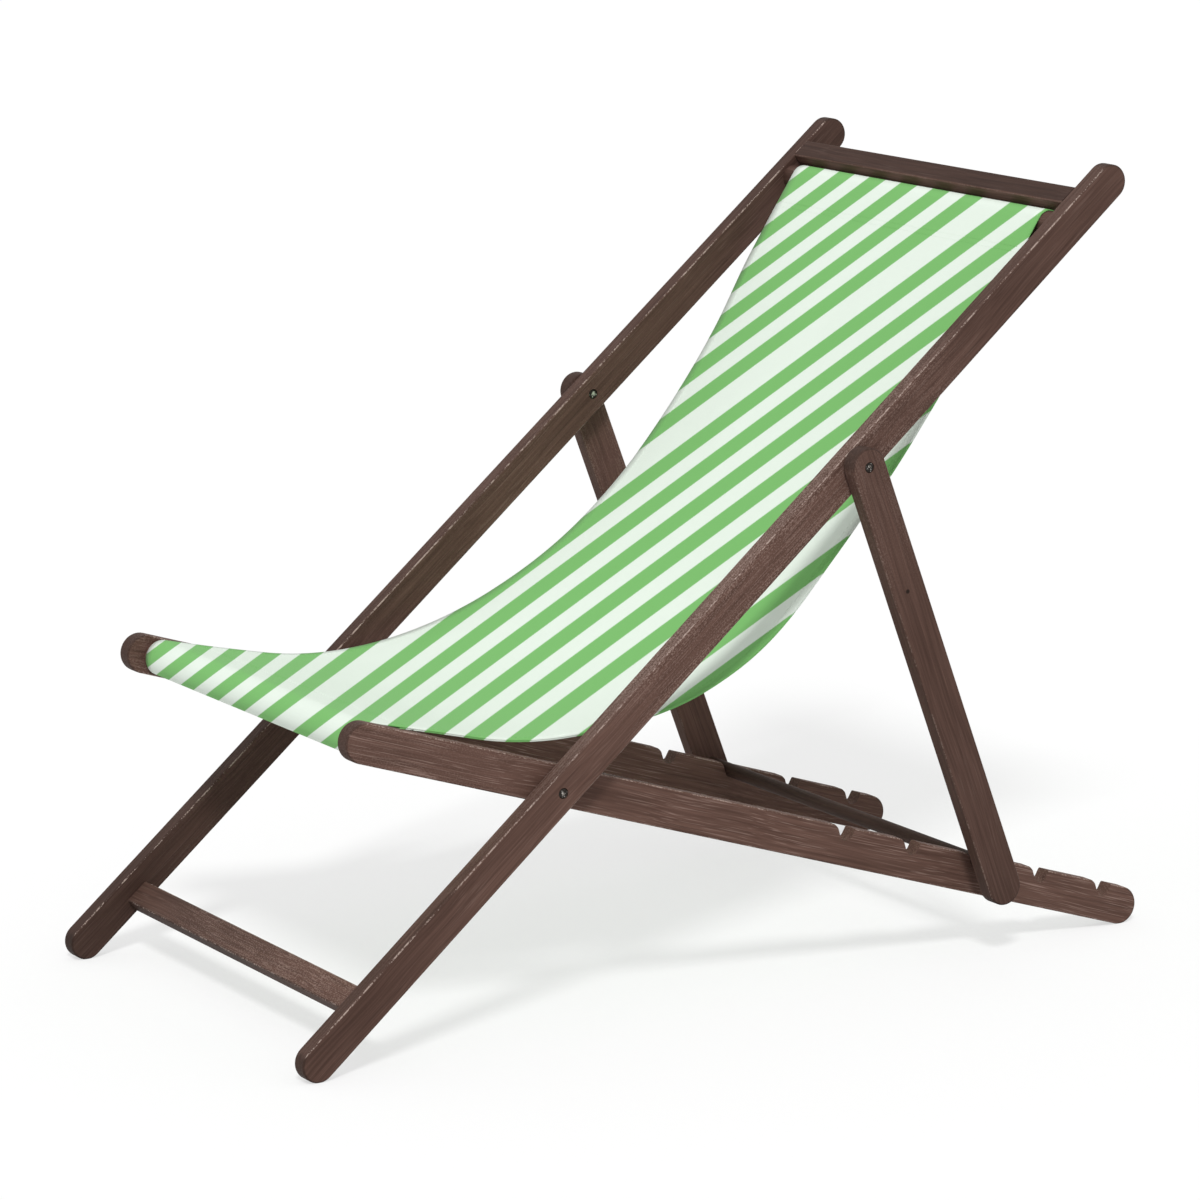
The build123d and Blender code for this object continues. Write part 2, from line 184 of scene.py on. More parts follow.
class Graph:
    """Node graph of a material or of the world."""

    def __init__(self, owner: Union[bpy.types.Material, bpy.types.World]) -> None:
        """Start an empty graph on a material or world."""
        owner.use_nodes = True
        self.owner = owner
        self.tree = owner.node_tree
        self.tree.nodes.clear()

    def add(
        self,
        kind: str,
        settings: dict[str, Any] | None = None,
        inputs: dict[Union[str, int], Any] | None = None,
        output: Union[str, int] = 0,
    ) -> Wire:
        """Add any node.

        Args:
            kind: The node's type.
            settings: Properties that are set before its inputs.
            inputs: Values or wires for its sockets, by name or number.
            output: The output socket to return.

        Returns:
            The chosen output.
        """
        node = self.tree.nodes.new(kind)
        for key, value in (settings or {}).items():
            setattr(node, key, value)
        for key, value in (inputs or {}).items():
            socket = node.inputs[key]
            if isinstance(value, Wire):
                self.tree.links.new(value.socket, socket)
            elif isinstance(value, tuple) and len(socket.default_value) > len(value):
                socket.default_value = (*value, 1.0)
            else:
                socket.default_value = value
        return Wire(self, node.outputs[output])

    def mix(self, first: Any, second: Any, share: Term) -> Wire:
        """Blend two colours.

        Args:
            first: Colour at share 0.
            second: Colour at share 1.
            share: Share of the second colour.

        Returns:
            The blended colour.
        """
        return self.add("ShaderNodeMix", {"data_type": "RGBA"}, {0: share, 6: first, 7: second}, 2)

    def split(self, vector: Wire) -> tuple[Wire, Wire, Wire]:
        """The three numbers of a vector."""
        first = self.add("ShaderNodeSeparateXYZ", None, {0: vector})
        outputs = first.socket.node.outputs
        return first, Wire(self, outputs[1]), Wire(self, outputs[2])

    def cloud(self, x: Term, y: Term, z: Term, detail: float = 3.0, rough: float = 0.55) -> Wire:
        """Noise around 0.5 at a point.

        Args:
            x: First coordinate, in noise cells.
            y: Second coordinate.
            z: Third coordinate.
            detail: Number of finer layers.
            rough: Strength of the finer layers.

        Returns:
            The noise value.
        """
        point = self.add("ShaderNodeCombineXYZ", None, {0: x, 1: y, 2: z})
        inputs = {"Vector": point, "Scale": 1.0, "Detail": detail, "Roughness": rough}
        return self.add("ShaderNodeTexNoise", None, inputs)

    def bump(self, height: Wire, depth: float, strength: float) -> Wire:
        """Normal of a height pattern that is a given depth in metres."""
        return self.add("ShaderNodeBump", None, {"Height": height, "Distance": depth, "Strength": strength})

    def close(self, surface: Wire, kind: str = "ShaderNodeOutputMaterial") -> Any:
        """Link the last shader to the output.

        Args:
            surface: The shader to show.
            kind: The output node's type.

        Returns:
            The material or world.
        """
        end = self.tree.nodes.new(kind)
        self.tree.links.new(surface.socket, end.inputs["Surface"])
        return self.owner


# Finishes


@dataclass(frozen=True)
class Scuff:
    """Stretch of a stick whose stain is speckled with pale wood."""

    first: float = 0.0
    last: float = 0.0
    strength: float = 0.0


@dataclass(frozen=True)
class StainAndPaintedShade:
    """How a stick took its stain, where it goes pale, and the painted shade and painted light in its tones.

    The shades are for the first end, the middle and the last end, and are partly the wood's own
    tone and partly painted shade and painted light. The face shade is painted shade or painted
    light on a rail's front face or a cross slat's lower face.
    """

    shade: Triple = (1.0, 1.0, 1.0)
    painted_face_shade: float = 1.0
    streaks: float = 0.25
    edge_wear_and_painted_highlight: float = 1.0
    front_wear: float = 0.0
    scuff: Scuff = Scuff()


@dataclass(frozen=True)
class Stick:
    """Where a stick's section lies, for its grain and the rub and painted highlight on its edges.

    The section's first axis rises by turn from +Y, its second axis is square to it. The ends are
    the centres of the rounded ends, and a dark spot is a place along and across the stick.
    """

    name: str
    origin: Flat
    turn: float
    half_width: float
    half_depth: float
    run: Run
    stain: StainAndPaintedShade
    middle: float = 0.0
    ends: Flat | None = None
    dark_spot: Flat | None = None
    seed: float = 0.0


@dataclass(frozen=True)
class Grain:
    """Shader values that all layers of one stick share."""

    along: Wire
    width: Wire
    depth: Wire
    streak: Wire
    fibre: Wire
    speck: Wire
    patch: Wire


@dataclass(frozen=True)
class StainedWood:
    """Dark brown stain on open-grained wood, paler on its edges from rub and a painted highlight."""

    deep: Colour = (0.0700, 0.0359, 0.0263)
    warm: Colour = (0.1503, 0.0822, 0.0635)
    fleck: Colour = (0.317, 0.213, 0.179)
    # Pale wood for rub, also used for the painted highlight along the arrises.
    rub_and_painted_highlight: Colour = (0.460, 0.358, 0.312)
    near_black: Colour = (0.010, 0.006, 0.004)
    streak_cells: float = 330.0
    fibre_cells: float = 900.0
    speck_cells: float = 850.0
    arris: Flat = (0.0017, 0.0007)
    face_edge: Flat = (0.0022, 0.0006)
    slat_ends: Flat = (-0.25, 0.25)
    scuff_fade: float = 0.06
    end_rise: Flat = (0.001, 0.009)
    end_rim: Flat = (0.0024, 0.0010)
    end_strength: float = 0.50
    rub_middle: float = 0.26
    rub_reach: Flat = (0.46, 0.10)
    dark_spot_edge: Flat = (0.00312, 0.00144)
    dark_spot_strength: float = 0.9

    def grain(self, g: Graph, stick: Stick) -> Grain:
        """Lay out one stick's grain along its length.

        Args:
            g: The material's graph.
            stick: The stick.

        Returns:
            The grain's values.
        """
        place = g.add("ShaderNodeTexCoord", None, None, "Object")
        turn = Matrix.Rotation(-math.radians(stick.turn), 3, "X")
        move = -(turn @ Vector((0.0, *stick.origin)))
        local = g.add(
            "ShaderNodeMapping",
            {"vector_type": "POINT"},
            {"Vector": place, "Location": tuple(move), "Rotation": (-math.radians(stick.turn), 0.0, 0.0)},
        )
        x, first, second = g.split(local)
        lengthwise = stick.run is Run.LENGTHWISE
        along, aside, width = (first, x, abs(x) - stick.middle) if lengthwise else (x, first, first)
        # A slow sway keeps the streaks from running dead straight.
        sway = (g.cloud(along * 5.0, aside * 9.0, second * 9.0 + stick.seed, 1.0) - 0.5) * 0.012
        a, d = aside + sway, second + sway
        wide, fine, dots = self.streak_cells, self.fibre_cells, self.speck_cells
        return Grain(
            along,
            width,
            second,
            g.cloud(a * wide, along * 7.0 + stick.seed, d * wide, 4.0, 0.62),
            g.cloud(a * fine, along * 15.0 + stick.seed, d * fine, 2.0, 0.5),
            g.cloud(a * dots, along * (dots * 0.6), d * dots + stick.seed, 1.0, 0.5),
            g.cloud(a * 14.0, along * 4.0 + stick.seed, d * 14.0, 2.0),
        )

    def material(self, stick: Stick) -> bpy.types.Material:
        """Make the wood for one stick.

        Args:
            stick: The stick's section, stain and scuffing.

        Returns:
            The finished material.
        """
        g = Graph(bpy.data.materials.new("wood_" + stick.name))
        n = self.grain(g, stick)
        tone = (n.streak * 1.5 + n.patch * 0.8 - 0.65).ease(0.0, 1.0)
        colour = g.mix(self.deep, self.warm, tone)
        threads = n.fibre.ease(0.54, 0.70) * n.patch.ease(0.28, 0.62)
        colour = g.mix(colour, self.fleck, threads * stick.stain.streaks)
        if stick.stain.scuff.strength:
            colour = g.mix(colour, self.fleck, self.speckle(n, stick))
        # Tone along the stick and on one face, partly painted shade and painted light.
        colour = g.mix((0.0, 0.0, 0.0), colour, self.tone_and_painted_shade(stick, n))
        # Pale rub on the edges and front face, with a painted highlight along every arris.
        worn_and_painted_highlight = self.wear_and_painted_highlight(g, stick, n)
        colour = g.mix(colour, self.rub_and_painted_highlight, worn_and_painted_highlight)
        if stick.ends is not None:
            colour = g.mix(colour, self.near_black, self.end_grain(n, stick) * self.end_strength)
        # A small near-black spot at one place on the stick.
        if stick.dark_spot is not None:
            far = self.reach(n.along - stick.dark_spot[0], n.depth - stick.dark_spot[1])
            colour = g.mix(colour, self.near_black, far.ease(*self.dark_spot_edge) * self.dark_spot_strength)
        surface = g.add(
            "ShaderNodeBsdfPrincipled",
            None,
            {
                "Base Color": colour,
                "Roughness": 0.60 + n.streak * 0.16 + worn_and_painted_highlight * 0.12,
                "Normal": g.bump(n.streak * 0.5 + n.fibre * 0.35 + n.speck * 0.15, 0.0006, 0.40),
                "Specular IOR Level": 0.14,
            },
        )
        return g.close(surface)

    def tone_and_painted_shade(self, stick: Stick, n: Grain) -> Wire:
        """Factor for the colour along a stick and on one face: partly the wood's own tone, partly painted
        shade and painted light.

        Args:
            stick: The stick.
            n: Its grain.

        Returns:
            A factor for the colour.
        """
        first, middle, last = stick.stain.shade
        share = n.along.ease(*(stick.ends or self.slat_ends))
        belly = share * (1.0 - share) * (4.0 * middle - 2.0 * (first + last))
        along = share * (last - first) + first + belly
        # A rail's front face or a cross slat's lower face takes its painted shade or painted light.
        if stick.run is Run.LENGTHWISE:
            face = self.front_face(stick, n)
        else:
            face = (n.width + stick.half_width).ease(*self.face_edge)
        return along * (1.0 - face * (1.0 - stick.stain.painted_face_shade))

    def front_face(self, stick: Stick, n: Grain) -> Wire:
        """1 on a rail's front face, else 0."""
        outer, inner = self.face_edge
        return (n.depth - stick.half_depth).ease(-outer, -inner)

    @staticmethod
    def reach(first: Wire, second: Wire) -> Wire:
        """Length of a two-way step."""
        return first.maths("SQRT", first * first + second * second)

    def speckle(self, n: Grain, stick: Stick) -> Wire:
        """How far the scuffed stretch is speckled with pale wood, which shows most near the edges.

        Args:
            n: The stick's grain.
            stick: The stick.

        Returns:
            A share from 0 to 1.
        """
        scuff, fade = stick.stain.scuff, self.scuff_fade
        edge = abs(n.depth).ease(stick.half_depth * 0.2, stick.half_depth) * 0.6 + 0.4
        begun = n.along.ease(scuff.first - fade, scuff.first + fade)
        zone = begun * n.along.ease(scuff.last + fade, scuff.last - fade)
        dots = (n.speck * 0.75 + n.fibre * 0.45).ease(0.56, 0.76)
        return dots * zone * edge * (n.patch.ease(0.20, 0.70) * 0.6 + 0.4) * scuff.strength

    def end_grain(self, n: Grain, stick: Stick) -> Wire:
        """Where the stick's rounded ends show thirsty end grain.

        Args:
            n: The stick's grain.
            stick: The stick.

        Returns:
            A share from 0 to 1.
        """
        beyond = (stick.ends[0] - n.along).larger(n.along - stick.ends[1]).larger(0.0)
        inside = stick.half_depth - self.reach(beyond, n.depth)
        return beyond.ease(*self.end_rise) * inside.ease(*self.end_rim)

    def wear_and_painted_highlight(self, g: Graph, stick: Stick, n: Grain) -> Wire:
        """How far the wood goes pale: a broken line on each arris, partly rub and partly painted
        highlight, and a scuffed stretch of a rail's front face.

        Args:
            g: The material's graph.
            stick: The stick's section, stain and scuffing.
            n: The stick's grain.

        Returns:
            A share from 0 to 1.
        """
        inside = (stick.half_width - abs(n.width)).larger(stick.half_depth - abs(n.depth))
        gaps = g.cloud(n.along * 45.0, stick.seed, 0.0)
        broken = (n.streak * 0.4 + n.speck * 0.8 + gaps * 0.8).ease(0.96, 1.16)
        # A thin broken line along every arris: partly rub, partly painted highlight.
        line = inside.ease(*self.arris) * broken * (0.85 * stick.stain.edge_wear_and_painted_highlight)
        if stick.stain.front_wear == 0.0:
            return line
        off_middle = n.along - self.rub_middle
        outer, inner = self.rub_reach
        stretch = off_middle.ease(-outer, -inner) * off_middle.ease(outer, inner)
        scuff = (n.streak * 0.5 + n.speck * 0.9).ease(0.52, 0.92)
        rub_and_painted_highlight = self.front_face(stick, n) * (stretch * 0.75 + 0.25) * scuff
        return line.larger(rub_and_painted_highlight * (0.34 * stick.stain.front_wear))


@dataclass(frozen=True)
class StripedCanvas:
    """Woven canvas with groups of green bands on white."""

    white: Colour = (0.835, 0.925, 0.830)
    green: Colour = (0.206, 0.520, 0.156)
    bands: int = 6
    band_share: float = 0.515
    group: float = 6.3208
    soft_edge: float = 0.022
    yarn: float = 0.0011

    def material(self) -> bpy.types.Material:
        """Make the cloth.

        Returns:
            The finished material, which reads the cloth's own map and band attribute.
        """
        g = Graph(bpy.data.materials.new("canvas_striped"))
        flat = g.add("ShaderNodeUVMap", {"uv_map": "cloth"})
        across, along, _ = g.split(flat)
        phase = g.add("ShaderNodeAttribute", {"attribute_name": "band"}, None, "Fac")
        fray = (g.cloud(across * 900.0, along * 900.0, 3.0, 1.0) - 0.5) * 0.03
        place = (phase + fray + 0.5) % self.group
        off_line = abs(place % 1.0 - 0.5)
        half = self.band_share / 2
        in_band = off_line.ease(half + self.soft_edge, half - self.soft_edge)
        in_group = place.ease(self.bands + 0.01, self.bands - 0.01)
        colour = g.mix(self.white, self.green, in_band * in_group)
        warp = g.cloud(across * 1000.0, along * 26.0, 0.0, 2.0)
        weft = g.cloud(across * 26.0, along * 1000.0, 9.0, 2.0)
        slub = warp + weft - 1.0
        soil = g.cloud(across * 7.0, along * 7.0, 5.0, 3.0) - 0.5
        shade = (slub * 0.16 + soil * 0.10).ease(-0.30, 0.30)
        colour = g.mix(g.mix((0.0, 0.0, 0.0), colour, 0.93), colour, shade)
        turn = 2 * math.pi / self.yarn
        weave = (across * turn).sine() * (along * turn).sine()
        height = weave * 0.35 + slub * 0.9
        surface = g.add(
            "ShaderNodeBsdfPrincipled",
            None,
            {
                "Base Color": colour,
                "Roughness": 0.86 + slub * 0.08,
                "Normal": g.bump(height, 0.00035, 0.30),
                "Specular IOR Level": 0.18,
                "Sheen Weight": 0.06,
                "Sheen Roughness": 0.5,
            },
        )
        return g.close(surface)


@dataclass(frozen=True)
class DullSteel:
    """Dull zinc-plated steel, dark partly from tarnish and partly as painted shade, with a painted glint at
    each pivot's axis.
    """

    bright: Colour = (0.62, 0.59, 0.55)
    tarnish_and_painted_shade: Colour = (0.020, 0.015, 0.012)
    # Radius round each pivot's axis inside which the steel shows a painted glint.
    socket: float = 0.0024

    def material(self, name: str, axis: Flat) -> bpy.types.Material:
        """Make the steel of one pivot.

        Args:
            name: The pivot's name.
            axis: Where the pivot's axis crosses the YZ plane.

        Returns:
            The finished material.
        """
        g = Graph(bpy.data.materials.new("steel_" + name))
        x, y, z = g.split(g.add("ShaderNodeTexCoord", None, None, "Object"))
        spot = g.cloud(x * 420.0, y * 420.0, z * 420.0, 4.0, 0.6)
        fine = g.cloud(x * 2600.0, y * 2600.0, z * 2600.0, 2.0)
        # Painted glint: the steel turns bright within the socket radius of the pivot's axis; its dark
        # elsewhere is partly painted shade.
        out_y, out_z = y - axis[0], z - axis[1]
        off_axis = out_y.maths("SQRT", out_y * out_y + out_z * out_z)
        rub_and_painted_highlight = off_axis.ease(self.socket * 1.15, self.socket * 0.85)
        worn_and_painted_highlight = (spot * 0.8 + fine * 0.3 + rub_and_painted_highlight * 0.12).ease(0.60, 0.76)
        surface = g.add(
            "ShaderNodeBsdfPrincipled",
            None,
            {
                "Base Color": g.mix(self.tarnish_and_painted_shade, self.bright, worn_and_painted_highlight),
                "Metallic": 0.75 + worn_and_painted_highlight * 0.25,
                "Roughness": 0.52 - worn_and_painted_highlight * 0.22,
                "Normal": g.bump(fine, 0.0001, 0.25),
            },
        )
        return g.close(surface)


# Camera, light and floor


@dataclass(frozen=True)
class Viewpoint:
    """Place and aim of the camera."""

    place: Triple = (4.4221, -2.7428, 1.5055)
    yaw: float = 58.28
    pitch: float = 12.17
    roll: float = -0.48
    reach: float = 4.099
    sensor: float = 36.0
    clip_end: float = 200.0

    def axes(self) -> tuple[Vector, Vector, Vector]:
        """The view's right, up and forward directions.

        Returns:
            Three unit vectors.
        """
        yaw, pitch, roll = (math.radians(a) for a in (self.yaw, self.pitch, self.roll))
        ahead = Vector((-math.sin(yaw), math.cos(yaw), 0.0))
        forward = ahead * math.cos(pitch) - Vector((0.0, 0.0, math.sin(pitch)))
        level = Vector((math.cos(yaw), math.sin(yaw), 0.0))
        raised = level.cross(forward)
        right = level * math.cos(roll) + raised * math.sin(roll)
        return right, raised * math.cos(roll) - level * math.sin(roll), forward

    def build(self) -> None:
        """Make the camera and give it to the scene."""
        data = bpy.data.cameras.new("camera")
        data.sensor_width = self.sensor
        data.lens = self.sensor * self.reach
        data.clip_end = self.clip_end
        camera = bpy.data.objects.new("camera", data)
        bpy.context.scene.collection.objects.link(camera)
        right, up, forward = self.axes()
        turned = Matrix((right, up, -forward)).transposed().to_4x4()
        camera.matrix_world = Matrix.Translation(self.place) @ turned
        bpy.context.scene.camera = camera


@dataclass(frozen=True)
class Lamp:
    """One far soft lamp."""

    name: str
    toward: Triple
    spread: float
    level: float

    def build(self) -> None:
        """Hang the lamp, so that a white face square to it renders at its level."""
        data = bpy.data.lights.new(self.name, "SUN")
        data.angle, data.energy = math.radians(self.spread), self.level * math.pi
        lamp = bpy.data.objects.new(self.name, data)
        lamp.rotation_euler = Vector(self.toward).to_track_quat("Z", "Y").to_euler()
        bpy.context.scene.collection.objects.link(lamp)


@dataclass
class Studio:
    """Pale floor, even sky and one soft lamp."""

    sky: float = 0.60
    floor_grey: float = 0.78
    floor_seen: float = 0.38
    floor_glow: float = 0.622
    floor_half: float = 60.0
    floor_drop: float = 0.0004
    lamp: Lamp = Lamp("lamp_key", (0.54, -0.36, 0.76), 11.0, 0.56)

    def build(self) -> None:
        """Set up the world, the lamp and the floor."""
        world = bpy.data.worlds.new("studio")
        bpy.context.scene.world = world
        g = Graph(world)
        strength = self.sky + self.seen_rays(g) * (1 - self.sky)
        sky = g.add("ShaderNodeBackground", None, {"Color": (1.0, 1.0, 1.0), "Strength": strength})
        g.close(sky, "ShaderNodeOutputWorld")
        self.lamp.build()
        shape = bmesh.new()
        bmesh.ops.create_grid(shape, x_segments=1, y_segments=1, size=self.floor_half)
        bmesh.ops.translate(shape, verts=shape.verts[:], vec=(0.0, 0.0, -self.floor_drop))
        make_object(shape, "floor", self.floor_paint())

    @staticmethod
    def seen_rays(g: Graph) -> Wire:
        """1 for camera, glossy and transmitted rays, else 0."""
        camera = g.add("ShaderNodeLightPath", None, None, "Is Camera Ray")
        outputs = camera.socket.node.outputs
        others = Wire(g, outputs["Is Glossy Ray"]).larger(Wire(g, outputs["Is Transmission Ray"]))
        return camera.larger(others)

    def floor_paint(self) -> bpy.types.Material:
        """Make the pale floor's material.

        Returns:
            A plain pale material that keeps the chair's shadow.
        """
        g = Graph(bpy.data.materials.new("floor_pale"))
        seen = self.seen_rays(g)
        grey = self.floor_grey + seen * (self.floor_seen - self.floor_grey)
        glow = seen * self.floor_glow
        surface = g.add(
            "ShaderNodeBsdfPrincipled",
            None,
            {
                "Base Color": g.add("ShaderNodeCombineColor", None, {0: grey, 1: grey, 2: grey}),
                "Emission Color": g.add("ShaderNodeCombineColor", None, {0: glow, 1: glow, 2: glow}),
                "Emission Strength": 1.0,
                "Roughness": 1.0,
                "Specular IOR Level": 0.0,
            },
        )
        return g.close(surface)


# Shared mesh helpers


def make_object(shape: bmesh.types.BMesh, name: str, material: bpy.types.Material) -> bpy.types.Object:
    """Turn a bmesh into a smooth scene object.

    Args:
        shape: The shape, which is freed.
        name: The object's name.
        material: Its material.

    Returns:
        The new object, at the origin.
    """
    mesh = bpy.data.meshes.new(name)
    shape.to_mesh(mesh)
    shape.free()
    mesh.polygons.foreach_set("use_smooth", [True] * len(mesh.polygons))
    mesh.materials.append(material)
    made = bpy.data.objects.new(name, mesh)
    bpy.context.scene.collection.objects.link(made)
    return made


def heading(angle: float) -> Vector:
    """Direction in the YZ plane that rises by an angle in radians from +Y."""
    return Vector((0.0, math.cos(angle), math.sin(angle)))


def upward(angle: float) -> Vector:
    """Direction square to a heading, on its upper side."""
    return Vector((0.0, -math.sin(angle), math.cos(angle)))


def swell(value: float, low: float, high: float) -> float:
    """Smooth step from 0 at low to 1 at high, where low may be above high."""
    share = max(0.0, min(1.0, (value - low) / (high - low)))
    return share * share * (3 - 2 * share)


def hump(value: float, span: Span) -> float:
    """Smooth rise from a span's first place to its second, and fall from its third to its last."""
    first, full, ebb, last = span
    return swell(value, first, full) * swell(value, last, ebb)


def middle_of(node: str) -> Vector:
    """Middle of a CAD node's box."""
    low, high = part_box(node)
    return (low + high) / 2


class Trace:
    """A line of edges in one plane across the chair, drawn by moving its last vertex on."""

    def __init__(self, start: Vector) -> None:
        """Start the line at a point, with the layers that a sheet needs."""
        self.shape = bmesh.new()
        self.shape.verts.layers.float.new("along")
        self.shape.verts.layers.float.new("band")
        self.shape.loops.layers.uv.new("cloth")
        self.line = [bmesh.ops.create_vert(self.shape, co=start)["vert"][0]]

    def straight(self, end: Vector, steps: int) -> Trace:
        """Draw a straight stretch.

        Args:
            end: Where it ends.
            steps: Number of edges.

        Returns:
            The same line.
        """
        step = (end - self.line[-1].co) / steps
        for _ in range(steps):
            tip = bmesh.ops.extrude_vert_indiv(self.shape, verts=[self.line[-1]])["verts"]
            bmesh.ops.translate(self.shape, verts=tip, vec=step)
            self.line += tip
        return self

    def arc(self, centre: Vector, angle: float, steps: int) -> Trace:
        """Draw an arc about an axis along X.

        Args:
            centre: Centre of the arc.
            angle: Angle to turn through, in radians.
            steps: Number of edges.

        Returns:
            The same line.
        """
        bmesh.ops.spin(
            self.shape, geom=[self.line[-1]], cent=centre, axis=(1.0, 0.0, 0.0), angle=angle, steps=steps
        )
        known = set(self.line)
        while True:
            ends = (edge.other_vert(self.line[-1]) for edge in self.line[-1].link_edges)
            fresh = [v for v in ends if v not in known]
            if not fresh:
                return self
            self.line.append(fresh[0])
            known.add(fresh[0])

    def points(self) -> list[Vector]:
        """Places along the line."""
        return [v.co.copy() for v in self.line]

    def sweep(self, width: float, steps: int) -> bmesh.types.BMesh:
        """Pull the line along X into a sheet whose vertices know their place along the line.

        Args:
            width: Width of the sheet.
            steps: Number of strips.

        Returns:
            The sheet's bmesh, with a float layer named along.
        """
        along = self.shape.verts.layers.float["along"]
        done = 0.0
        for before, vert in zip([self.line[0], *self.line], self.line):
            done += (vert.co - before.co).length
            vert[along] = done
        geom = [*self.shape.verts, *self.shape.edges]
        shift = (width / steps, 0.0, 0.0)
        bmesh.ops.spin(
            self.shape, geom=geom, axis=(1.0, 0.0, 0.0), dvec=shift, angle=0.0, steps=steps
        )
        bmesh.ops.recalc_face_normals(self.shape, faces=self.shape.faces[:])
        self.shape.normal_update()
        if sum(face.normal.z for face in self.shape.faces) < 0:
            bmesh.ops.reverse_faces(self.shape, faces=self.shape.faces[:])
        self.shape.normal_update()
        return self.shape


# Sub-assemblies


@dataclass
class Timber:
    """The chair's wooden sticks, which keep their CAD shapes and get their grain and their tones, with
    painted shade and painted light.
    """

    tilt: float = 39.7
    slope: float = -18.29
    back_depth: float = 0.019
    seat_depth: float = 0.021
    seat_lift: float = 0.005
    prop_depth: float = 0.0205
    prop_tail: float = 0.042
    slat_half: float = 0.009
    top_half: float = 0.012
    foot_half: float = 0.01475
    back_ends: Flat = (-0.374, 0.898)
    seat_ends: Flat = (-0.232, 0.770)
    dark_spot: Flat = (0.1461, -0.0023)
    # Shades and face shades below are partly the wood's own tone and partly painted shade and painted light;
    # the far back rail is darkened as painted shade.
    back_left: StainAndPaintedShade = StainAndPaintedShade((0.78, 0.95, 0.75), 0.92, 0.22, 1.0, 0.7, Scuff(0.12, 0.62, 0.85))
    back_right: StainAndPaintedShade = StainAndPaintedShade((0.48, 0.79, 0.62), 0.90, 0.22, 1.0, 0.1, Scuff(-0.25, 0.55, 0.22))
    seat_left: StainAndPaintedShade = StainAndPaintedShade((0.90, 0.98, 0.90), 1.03, 0.66, 0.9, 0.0, Scuff(-0.40, -0.05, 0.35))
    seat_right: StainAndPaintedShade = StainAndPaintedShade((0.90, 0.98, 0.90), 1.03, 0.66, 0.9, 0.0, Scuff(-0.40, -0.19, 0.90))
    prop_left: StainAndPaintedShade = StainAndPaintedShade((0.78, 0.77, 0.60), 1.03, 0.15, 0.25, 0.0, Scuff(-0.10, 0.14, 0.40))
    # The far strut's low end is lightened as painted light where the cloth's shadow falls.
    prop_right: StainAndPaintedShade = StainAndPaintedShade((0.78, 0.77, 0.90), 1.03, 0.15, 0.25, 0.0, Scuff(-0.10, 0.14, 0.40))
    # Painted light on the top slat's lower face, painted shade on the foot slat's lower face.
    top_slat: StainAndPaintedShade = StainAndPaintedShade((0.47, 0.47, 0.47), 2.0, edge_wear_and_painted_highlight=0.15)
    foot_slat: StainAndPaintedShade = StainAndPaintedShade((0.69, 0.76, 1.10), 0.6, edge_wear_and_painted_highlight=0.7, scuff=Scuff(-0.15, 0.40, 0.75))
    # Painted shade darkens the prop bar and painted light brightens the front dowel.
    round_painted_shades: tuple[tuple[str, float], ...] = (
        ("top_sling_dowel", 0.7),
        ("front_sling_dowel", 1.28),
        ("prop_bar", 0.47),
    )
    side_seed: float = 3.7
    seat_seed: float = 1.3
    prop_seed: float = 2.1
    slat_seed: float = 900.0

    def sticks(self, joints: list[dict[str, Any]]) -> Iterable[Stick]:
        """Describe every wooden node.

        Args:
            joints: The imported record's joints, for the two pivots.

        Returns:
            One stick for each node, under the node's name.
        """
        pivot = {j["name"]: (j["pos_m"][1], j["pos_m"][2]) for j in joints}
        slope = math.radians(self.slope)
        seat = Vector((0.0, *pivot["seat_fold"])) + upward(slope) * self.seat_lift
        prop = middle_of("prop_bar") - Vector((0.0, *pivot["prop_swing"]))
        prop_turn = math.degrees(math.atan2(prop.z, prop.y))
        prop_ends = (0.0, math.hypot(prop.y, prop.z) + self.prop_tail - self.prop_depth)
        low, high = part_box("back_rail_left")
        half_thick = (high.x - low.x) / 2
        for side in Side:
            hand = side.name.lower()
            left = side is Side.LEFT
            seed = self.side_seed * side.value
            yield Stick(
                name="back_rail_" + hand,
                origin=pivot["seat_fold"],
                turn=self.tilt,
                half_width=half_thick,
                half_depth=self.back_depth,
                run=Run.LENGTHWISE,
                stain=self.back_left if left else self.back_right,
                middle=middle_of("back_rail_left").x,
                ends=self.back_ends,
                seed=seed,
            )
            yield Stick(
                name="seat_rail_" + hand,
                origin=(seat.y, seat.z),
                turn=self.slope,
                half_width=half_thick,
                half_depth=self.seat_depth,
                run=Run.LENGTHWISE,
                stain=self.seat_left if left else self.seat_right,
                middle=middle_of("seat_rail_left").x,
                ends=self.seat_ends,
                seed=seed + self.seat_seed,
            )
            yield Stick(
                name="prop_strut_" + hand,
                origin=pivot["prop_swing"],
                turn=prop_turn,
                half_width=half_thick,
                half_depth=self.prop_depth,
                run=Run.LENGTHWISE,
                stain=self.prop_left if left else self.prop_right,
                middle=middle_of("prop_strut_left").x,
                ends=prop_ends,
                dark_spot=self.dark_spot if left else None,
                seed=seed + self.prop_seed,
            )
        for node, half, stain in (
            ("top_rail", self.top_half, self.top_slat),
            ("foot_rail", self.foot_half, self.foot_slat),
        ):
            spot = middle_of(node)
            place, seed = (spot.y, spot.z), half * self.slat_seed
            yield Stick(node, place, self.tilt, half, self.slat_half, Run.CROSSWISE, stain, seed=seed)
        for node, shade in self.round_painted_shades:
            spot = middle_of(node)
            stain = StainAndPaintedShade((shade, shade, shade), edge_wear_and_painted_highlight=0.0)
            yield Stick(node, (spot.y, spot.z), 0.0, 1.0, 1.0, Run.CROSSWISE, stain, seed=len(node))

